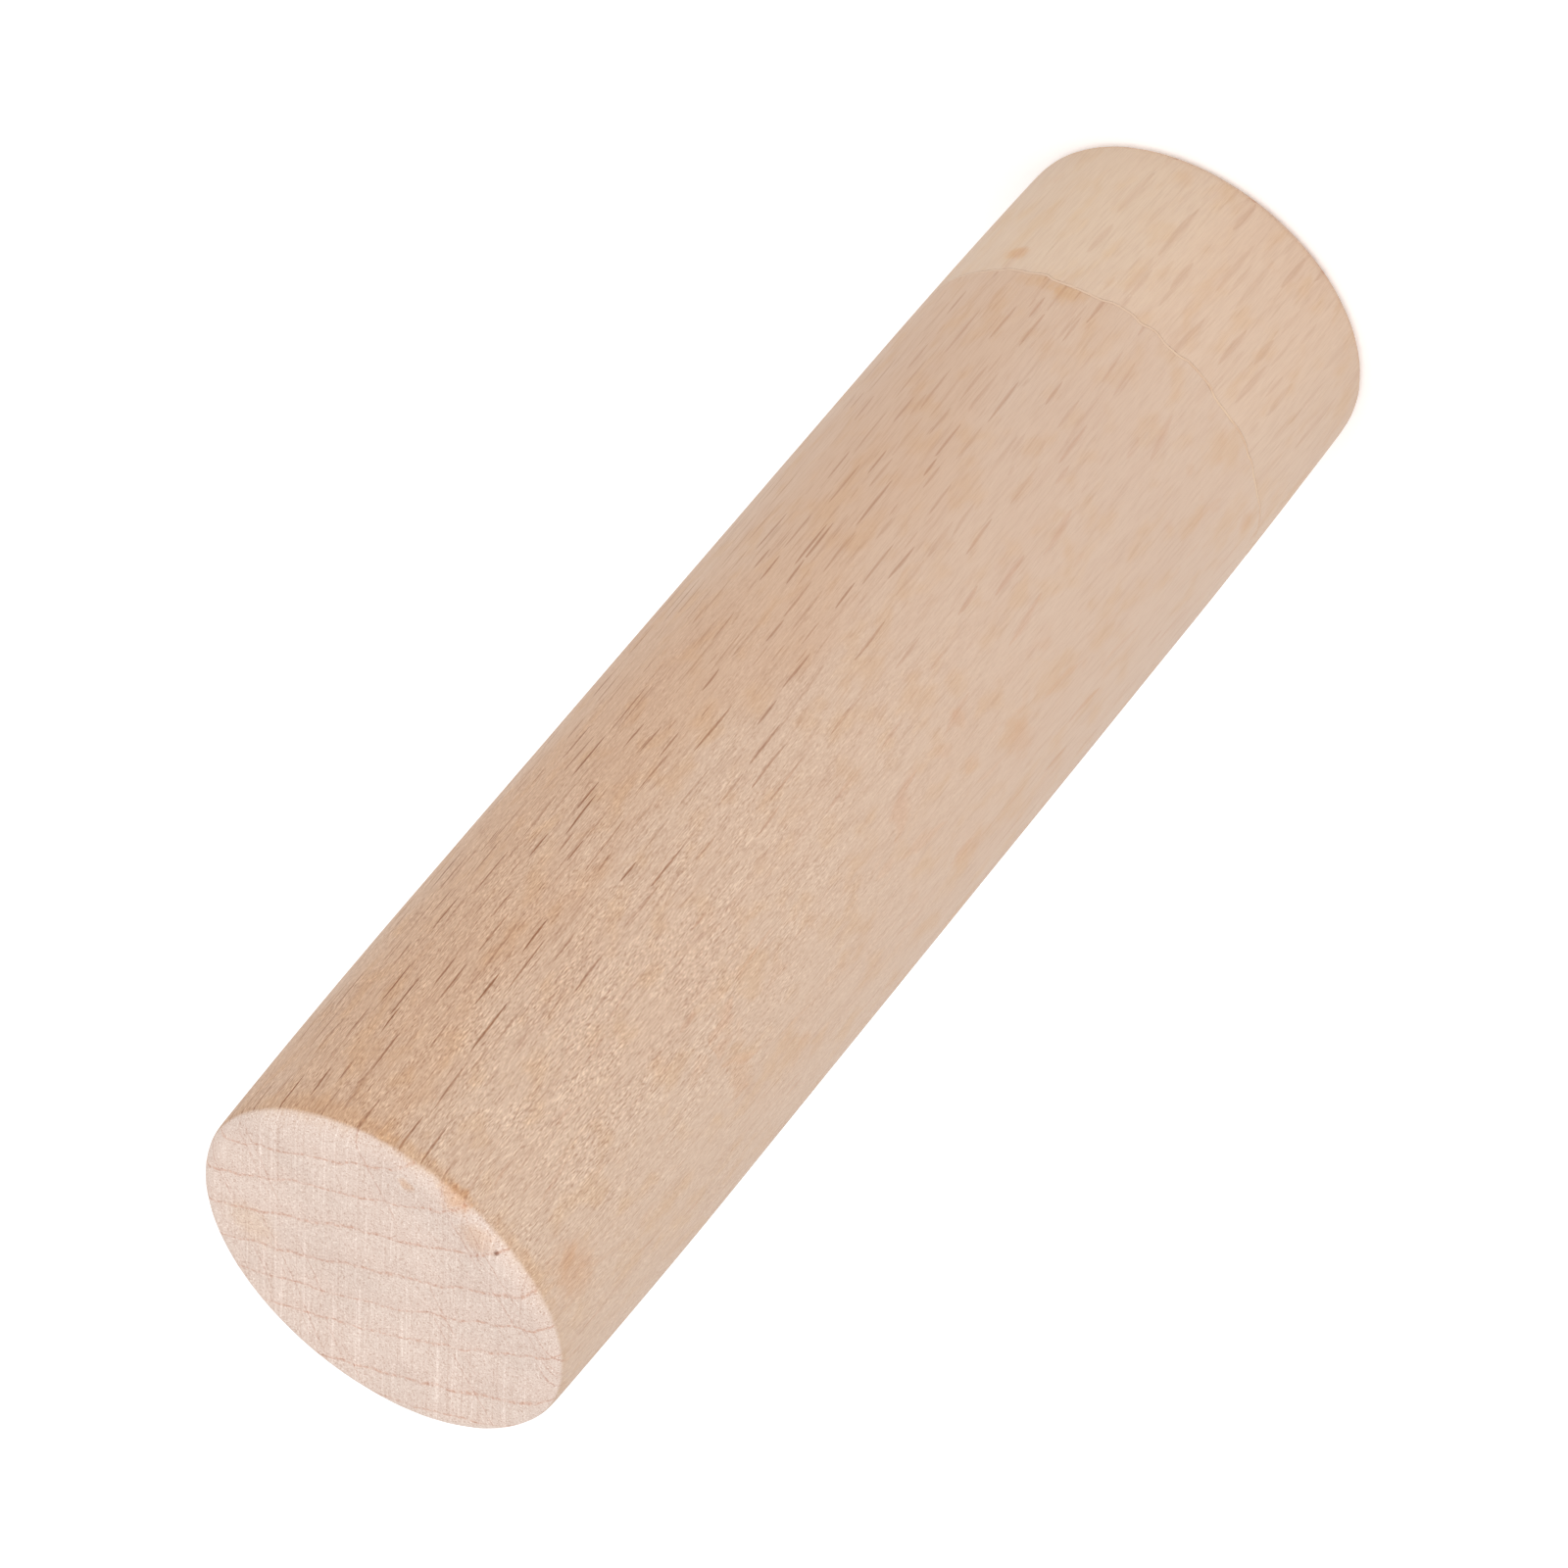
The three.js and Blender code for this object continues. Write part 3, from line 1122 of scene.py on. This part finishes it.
def arc(centre: tuple[float, float], radius: float, start: float, end: float, steps: int) -> Outline:
    """Points on a round, both ends included.

    Args:
        centre: Its centre, as radius and height.
        radius: Its radius.
        start: Start angle in degrees, from straight out.
        end: End angle in degrees.
        steps: How many chords it has.

    Returns:
        The points.
    """
    points = []
    for i in range(steps + 1):
        angle = math.radians(start + (end - start) * i / steps)
        points.append((centre[0] + radius * math.cos(angle), centre[1] + radius * math.sin(angle)))
    return points


def run(start: tuple[float, float], end: tuple[float, float], step: float) -> Outline:
    """Evenly spaced points on a straight line, both ends included."""
    gap = math.dist(start, end)
    count = max(1, math.ceil(gap / step))
    return [
        (start[0] + (end[0] - start[0]) * i / count, start[1] + (end[1] - start[1]) * i / count)
        for i in range(count + 1)
    ]


def without_repeats(outline: Outline) -> Outline:
    """The outline with each repeated point kept once."""
    kept: Outline = []
    for point in outline:
        if not kept or math.dist(point, kept[-1]) > 1e-7:
            kept.append(point)
    return kept


@dataclass
class TurnedBody:
    """The cylinder that both boards share.

    Attributes:
        radius: Greatest radius.
        length: Whole length.
        end_loss: How much slimmer sanding leaves each end.
        end_reach: How far from an end that loss starts.
        side_step: Spacing of rings up the side.
        face_step: Spacing of rings across an end face.
        segments: Flats round the axis.
    """

    radius: float
    length: float
    end_loss: float = 0.36 * MM
    end_reach: float = 24.0 * MM
    side_step: float = 0.6 * MM
    face_step: float = 1.2 * MM
    segments: int = 288

    def radius_at(self, height: float) -> float:
        """The body's radius at a height."""
        from_end = min(height, self.length - height)
        share = max(0.0, 1.0 - from_end / self.end_reach)
        return self.radius - self.end_loss * share * share

    def side(self, low: float, high: float) -> Outline:
        """Outline points up the side between two heights."""
        return [(self.radius_at(h), h) for _, h in run((0.0, low), (0.0, high), self.side_step)]


@dataclass
class Shaft:
    """The long board, from the joint up to the free working face.

    Attributes:
        body: The shared cylinder.
        foot: Height of the jointed face.
        bore_radius: Radius of the blind bore in the jointed face.
        bore_top: Height of the bore's flat end.
        rim_round: Radius of the softened free rim.
        rim_steps: Chords round the softened rim.
    """

    body: TurnedBody
    foot: float
    bore_radius: float
    bore_top: float
    rim_round: float = 1.2 * MM
    rim_steps: int = 10

    def outline(self) -> Outline:
        """The board's outline, from the bore's end on the axis out and up to the middle of the face."""
        body = self.body
        outer = body.radius_at(self.foot)
        rim_start = body.length - self.rim_round
        rim_centre = (body.radius_at(rim_start) - self.rim_round, rim_start)
        flat_start = (rim_centre[0] - 0.15 * MM, body.length)
        return without_repeats(
            [
                (0.0, self.bore_top),
                *run((self.bore_radius, self.bore_top), (self.bore_radius, self.foot), 2 * MM),
                *run((self.bore_radius, self.foot), (outer - EDGE, self.foot), 1.5 * MM),
                (outer, self.foot + EDGE),
                *body.side(self.foot + 3 * EDGE, rim_start),
                *arc(rim_centre, self.rim_round, 0.0, 90.0, self.rim_steps),
                *run(flat_start, (0.0, body.length), body.face_step),
            ]
        )

    def build(self, lathe: Lathe, finish: bpy.types.Material) -> bpy.types.Object:
        """Turns the board."""
        return lathe.turn(
            "turned_shaft",
            self.outline(),
            finish,
            Segments=self.body.segments,
            Ripple=RIPPLE,
            Rim_Height=self.body.length,
            Rim_Wear=0.16 * MM,
            Joint_Height=self.foot,
            Joint_Chips=JOINT_CHIPS,
            Joint_Wander=JOINT_WANDER,
            Seed=3,
        )


@dataclass
class EndBlock:
    """The short board that the muddler stands on.

    Attributes:
        body: The shared cylinder.
        top: Height of the jointed face.
        bore_radius: Radius of the blind bore in the jointed face.
        bore_floor: Height of the bore's flat end.
        rim_round: Radius of the softened foot rim.
        rim_steps: Chords round the softened rim.
    """

    body: TurnedBody
    top: float
    bore_radius: float
    bore_floor: float
    rim_round: float = 0.85 * MM
    rim_steps: int = 8

    def outline(self) -> Outline:
        """The board's outline, from the middle of the foot out, up and back down into the bore."""
        body = self.body
        outer = body.radius_at(self.top)
        rim_centre = (body.radius_at(self.rim_round) - self.rim_round, self.rim_round)
        flat_end = (rim_centre[0] - 0.15 * MM, 0.0)
        return without_repeats(
            [
                *run((0.0, 0.0), flat_end, body.face_step),
                *arc(rim_centre, self.rim_round, -90.0, 0.0, self.rim_steps),
                *body.side(self.rim_round, self.top - 3 * EDGE),
                (outer, self.top - EDGE),
                *run((outer - EDGE, self.top), (self.bore_radius, self.top), 1.5 * MM),
                *run((self.bore_radius, self.top), (self.bore_radius, self.bore_floor), 2 * MM),
                (0.0, self.bore_floor),
            ]
        )

    def build(self, lathe: Lathe, finish: bpy.types.Material) -> bpy.types.Object:
        """Turns the block."""
        return lathe.turn(
            "turned_end_block",
            self.outline(),
            finish,
            Segments=self.body.segments,
            Ripple=RIPPLE,
            Rim_Height=0.0,
            Rim_Wear=0.12 * MM,
            Joint_Height=self.top,
            Joint_Chips=JOINT_CHIPS,
            Joint_Wander=JOINT_WANDER,
            Seed=3,
        )


@dataclass
class GlueLine:
    """The ring of cured glue in the butt joint.

    Attributes:
        body: The shared cylinder.
        low: Height of its lower face.
        high: Height of its upper face.
        hole_radius: Radius of the hole round the dowel.
        sunk: How far sanding and shrinkage leave its edge below the wood.
    """

    body: TurnedBody
    low: float
    high: float
    hole_radius: float
    sunk: float = 0.005 * MM

    def outline(self) -> Outline:
        """The ring's closed section."""
        outer = self.body.radius_at(self.low) - self.sunk
        return without_repeats(
            [
                *run((self.hole_radius, self.low), (outer - EDGE, self.low), 1.5 * MM),
                *run((outer, self.low + EDGE), (outer, self.high - EDGE), 2 * EDGE),
                *run((outer - EDGE, self.high), (self.hole_radius, self.high), 1.5 * MM),
            ]
        )

    def build(self, lathe: Lathe, finish: bpy.types.Material) -> bpy.types.Object:
        """Turns the ring."""
        return lathe.turn(
            "glue_line",
            self.outline(),
            finish,
            Segments=self.body.segments,
            Ripple=RIPPLE,
            Joint_Height=(self.low + self.high) / 2,
            Joint_Wander=JOINT_WANDER,
            Seed=3,
        )


@dataclass
class Dowel:
    """The hidden fluted pin across the joint.

    Attributes:
        radius: Its radius over the flutes' crests.
        low: Height of its lower end.
        high: Height of its upper end.
        flutes: How many flutes are pressed into it.
        flute_depth: How deep they are.
        chamfer: Size of its end chamfers.
    """

    radius: float
    low: float
    high: float
    flutes: int = 16
    flute_depth: float = 0.3 * MM
    chamfer: float = 0.8 * MM

    def outline(self) -> Outline:
        """The pin's outline, from foot to top."""
        end = self.radius - self.chamfer
        low, high = self.low + self.chamfer, self.high - self.chamfer
        return without_repeats(
            [
                *run((0.0, self.low), (end, self.low), 0.8 * MM),
                *run((end, self.low), (self.radius, low), 0.4 * MM),
                *run((self.radius, low), (self.radius, high), 1.0 * MM),
                *run((self.radius, high), (end, self.high), 0.4 * MM),
                *run((end, self.high), (0.0, self.high), 0.8 * MM),
            ]
        )

    def build(self, lathe: Lathe, finish: bpy.types.Material) -> bpy.types.Object:
        """Turns the pin."""
        return lathe.turn(
            "fluted_dowel",
            self.outline(),
            finish,
            Segments=self.flutes * 12,
            Flutes=self.flutes,
            Flute_Depth=self.flute_depth,
            Seed=9,
        )


# ----------------------------------------------------------------------------------------------
# Studio
# ----------------------------------------------------------------------------------------------


@dataclass
class SoftBox:
    """A square area lamp aimed at the object's middle.

    Attributes:
        name: The lamp's name.
        bearing: Degrees round the axis, from -Y towards +X.
        elevation: Degrees above level.
        distance: Metres from the object.
        size: Side of the square, in metres.
        power: Watts.
    """

    name: str
    bearing: float
    elevation: float
    distance: float
    size: float
    power: float

    def build(self, target: Vector) -> bpy.types.Object:
        """Hangs the lamp.

        Args:
            target: The point it is aimed at.

        Returns:
            The lamp object.
        """
        light = bpy.data.lights.new(self.name, "AREA")
        light.shape = "SQUARE"
        light.size = self.size
        light.energy = self.power
        lamp = bpy.data.objects.new(self.name, light)
        bpy.context.scene.collection.objects.link(lamp)
        rise = math.radians(self.elevation)
        towards = around(self.bearing) * math.cos(rise) + Vector((0.0, 0.0, math.sin(rise)))
        lamp.location = target + towards * self.distance
        lamp.rotation_euler = towards.to_track_quat("Z", "Y").to_euler()
        return lamp


@dataclass
class Viewpoint:
    """Where the camera stands.

    Attributes:
        bearing: Degrees round the axis, from -Y towards +X.
        elevation: Degrees above level.
        roll: Degrees that the camera is turned about its own line of sight.
        distance: Metres from the aim point.
        aim_share: The aim point's height as a share of the object's length.
        aim_side: The aim point's distance along +X, in metres.
        lens: Focal length on a 36 mm sensor, in mm.
    """

    bearing: float = -0.025
    elevation: float = 32.715
    roll: float = 140.11
    distance: float = 0.64974
    aim_share: float = 0.5199
    aim_side: float = 0.243 * MM
    lens: float = 211.49

    def build(self, length: float) -> bpy.types.Object:
        """Sets up the scene's camera.

        Args:
            length: The object's length.

        Returns:
            The camera object.
        """
        data = bpy.data.cameras.new("camera")
        data.lens = self.lens
        data.sensor_width = 36.0
        data.clip_start = 0.01
        data.clip_end = 50.0
        camera = bpy.data.objects.new("camera", data)
        bpy.context.scene.collection.objects.link(camera)
        rise = math.radians(self.elevation)
        back = around(self.bearing) * math.cos(rise) + Vector((0.0, 0.0, math.sin(rise)))
        level = Vector((0.0, 0.0, 1.0)).cross(back).normalized()
        upright = back.cross(level)
        turn = math.radians(self.roll)
        up = upright * math.cos(turn) + level * math.sin(turn)
        right = up.cross(back)
        aim = Vector((self.aim_side, 0.0, self.aim_share * length))
        placed = Matrix((right, up, back)).transposed().to_4x4()
        placed.translation = aim + back * self.distance
        camera.matrix_world = placed
        bpy.context.scene.camera = camera
        return camera


@dataclass
class Studio:
    """A plain pale floor, soft lamps and an even white surround.

    Attributes:
        floor_size: Side of the floor, in metres.
        floor_colour: The floor's colour.
        floor_glow: How strongly the floor, a lit table, shines by itself.
        surround: Strength of the even white surround.
        lamps: The soft lamps.
    """

    floor_size: float = 8.0
    floor_colour: Colour = (0.95, 0.95, 0.95)
    floor_glow: float = 0.26
    surround: float = 0.765
    lamps: list[SoftBox] = field(
        default_factory=lambda: [
            SoftBox("key_lamp", -14.0, 33.0, 0.9, 0.7, 1.35),
            SoftBox("top_lamp", 0.0, 85.0, 1.0, 0.9, 2.5),
        ]
    )

    def build(self, middle: Vector) -> None:
        """Lays the floor, hangs the lamps and sets the surround.

        Args:
            middle: The object's middle.
        """
        half = self.floor_size / 2
        mesh = bpy.data.meshes.new("floor")
        corners = [(-half, -half, 0.0), (half, -half, 0.0), (half, half, 0.0), (-half, half, 0.0)]
        mesh.from_pydata(corners, [], [(0, 1, 2, 3)])
        mesh.materials.append(TableFinish("pale_table", self.floor_colour, self.floor_glow).build())
        floor = bpy.data.objects.new("floor", mesh)
        bpy.context.scene.collection.objects.link(floor)
        for lamp in self.lamps:
            lamp.build(middle)
        world = bpy.data.worlds.new("surround")
        world.use_nodes = True
        background = world.node_tree.nodes["Background"]
        background.inputs["Color"].default_value = WHITE
        background.inputs["Strength"].default_value = self.surround
        bpy.context.scene.world = world
        bpy.context.scene.view_settings.view_transform = "Standard"


# ----------------------------------------------------------------------------------------------
# The muddler
# ----------------------------------------------------------------------------------------------

SHAFT_RAYS = (
    RayFlecks(1.4, 6.0, 0.85, 1.0, 2.9, 0.1, 1.0, 0.0),
    RayFlecks(2.3, 11.0, 0.7, 1.5, 3.5, 0.13, 0.38, 23.9),
    RayFlecks(0.8, 3.6, 0.55, 0.5, 1.3, 0.06, 0.45, 37.1),
)

BLOCK_RAYS = (
    RayFlecks(2.1, 8.0, 0.8, 1.4, 3.6, 0.2, 0.66, 5.0),
    RayFlecks(1.2, 5.4, 0.7, 0.8, 2.1, 0.12, 0.42, 17.0),
)

SHAFT_MARKS = (
    Mark(29.0, 16.4, 14.9, 1.6, 1.3, Stain.YELLOW, 0.7),
    Mark(38.0, 16.3, 14.9, 2.6, 0.9, Stain.YELLOW, 0.4),
    Mark(11.0, 106.9, 12.6, 0.7, 0.6, Stain.ORANGE, 0.7),
    Mark(-3.0, 106.3, 14.3, 1.5, 0.9, Stain.ORANGE, 0.9),
    Mark(-15.0, 106.9, 13.2, 1.6, 0.7, Stain.ORANGE, 0.45),
    Mark(121.0, 106.9, 10.4, 2.4, 0.8, Stain.YELLOW, 0.35),
    Mark(-21.6, 106.9, 13.9, 0.22, 0.4, Stain.DARK_SPECK, 1.0),
    Mark(-42.0, 103.0, 14.7, 2.6, 2.4, Stain.SOFT_ORANGE, 0.75),
    Mark(-43.0, 83.0, 15.0, 1.7, 1.5, Stain.SOFT_ORANGE, 0.55),
    Mark(-44.0, 47.0, 15.0, 1.7, 1.6, Stain.SOFT_ORANGE, 0.55),
    Mark(-57.0, 55.0, 15.0, 1.5, 2.6, Stain.SOFT_ORANGE, 0.4),
    Mark(-24.0, 51.0, 15.0, 0.9, 0.8, Stain.ORANGE, 0.3),
    Mark(-62.0, 17.4, 15.0, 1.1, 1.0, Stain.ORANGE, 0.4),
    Mark(8.0, 99.0, 15.0, 0.25, 0.35, Stain.DARK_SPECK, 0.7),
    Mark(10.0, 105.9, 14.4, 4.5, 0.8, Stain.TAN_RIM, 0.8),
    Mark(45.0, 105.6, 14.5, 9.0, 1.2, Stain.TAN_RIM, 0.7),
    Mark(-30.0, 105.9, 14.4, 6.0, 0.8, Stain.TAN_RIM, 0.5),
)

BLOCK_MARKS = (
    Mark(46.0, 8.0, 15.0, 13.0, 13.0, Stain.LIGHT_PATCH, 1.0),
    Mark(53.0, 13.6, 14.9, 1.15, 0.85, Stain.ORANGE, 0.7),
)


def main() -> None:
    """Builds every piece, dresses it, and sets up the studio."""
    logging.basicConfig(level=logging.INFO, format="%(name)s: %(message)s")
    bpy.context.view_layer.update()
    shaft_low, shaft_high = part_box("shaft")
    block_low, block_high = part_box("end_block")
    pin_low, pin_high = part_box("dowel")
    body = TurnedBody(radius=shaft_high.x - SPARE, length=shaft_high.z - SPARE)
    pin_radius = pin_high.x
    bore_radius = pin_radius + BORE_CLEARANCE
    lathe = Lathe()

    shaft_finish = BeechFinish(
        name="long_board_beech",
        grain=Grain(50.0, 125.0, 3.5, 0.03, 0.0, SHAFT_RAYS),
        colours=BeechColours(srgb(206, 180, 159), srgb(201, 167, 140), srgb(228, 207, 194)),
        marks=SHAFT_MARKS,
        free_end=shaft_high.z * PER_METRE_MM,
        fuzz_reach=75.0,
        fuzz=1.0,
    )
    block_finish = BeechFinish(
        name="short_board_beech",
        grain=Grain(-12.0, 120.0, 3.6, -0.02, 83.0, BLOCK_RAYS),
        colours=BeechColours(
            pale=srgb(205, 180, 160),
            tan=srgb(210, 182, 159),
            end=srgb(212, 188, 170),
            bleached=(1.0, 1.0, 1.0),
        ),
        marks=BLOCK_MARKS,
    )
    glue_finish = GlueFinish(
        name="cured_glue",
        low=block_high.z * PER_METRE_MM,
        high=shaft_low.z * PER_METRE_MM,
        bearing=-45.0,
        dust=srgb(213, 184, 159),
        gap=srgb(208, 175, 147),
        squeeze=srgb(216, 188, 160),
    )
    pin_finish = BeechFinish(
        name="pin_beech",
        grain=Grain(110.0, 60.0, 2.2, 0.0, 151.0, BLOCK_RAYS),
        colours=BeechColours(srgb(206, 172, 140), srgb(200, 164, 126), srgb(196, 166, 138)),
    )

    shaft = Shaft(body, shaft_low.z, bore_radius, pin_high.z + SHAFT_BORE_SPARE)
    block = EndBlock(body, block_high.z, bore_radius, pin_low.z - BLOCK_BORE_SPARE)
    glue = GlueLine(body, block_high.z, shaft_low.z, bore_radius)
    pin = Dowel(pin_radius, pin_low.z, pin_high.z)
    jobs = (
        (shaft, shaft_finish, "shaft", "shaft_beech"),
        (block, block_finish, "end_block", "end_block_beech"),
        (glue, glue_finish, "glue_film", "wood_glue"),
        (pin, pin_finish, "dowel", "dowel_hardwood"),
    )
    for maker, finish, node, slot in jobs:
        piece = maker.build(lathe, finish.build())
        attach(piece, ROOT_BODY)
        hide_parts(node)
        log.info("%s: %d faces, stands for %s", piece.name, len(piece.data.polygons), node)

    middle = Vector((0.0, 0.0, body.length / 2))
    Studio().build(middle)
    Viewpoint().build(body.length)


if __name__ == "__main__":
    main()
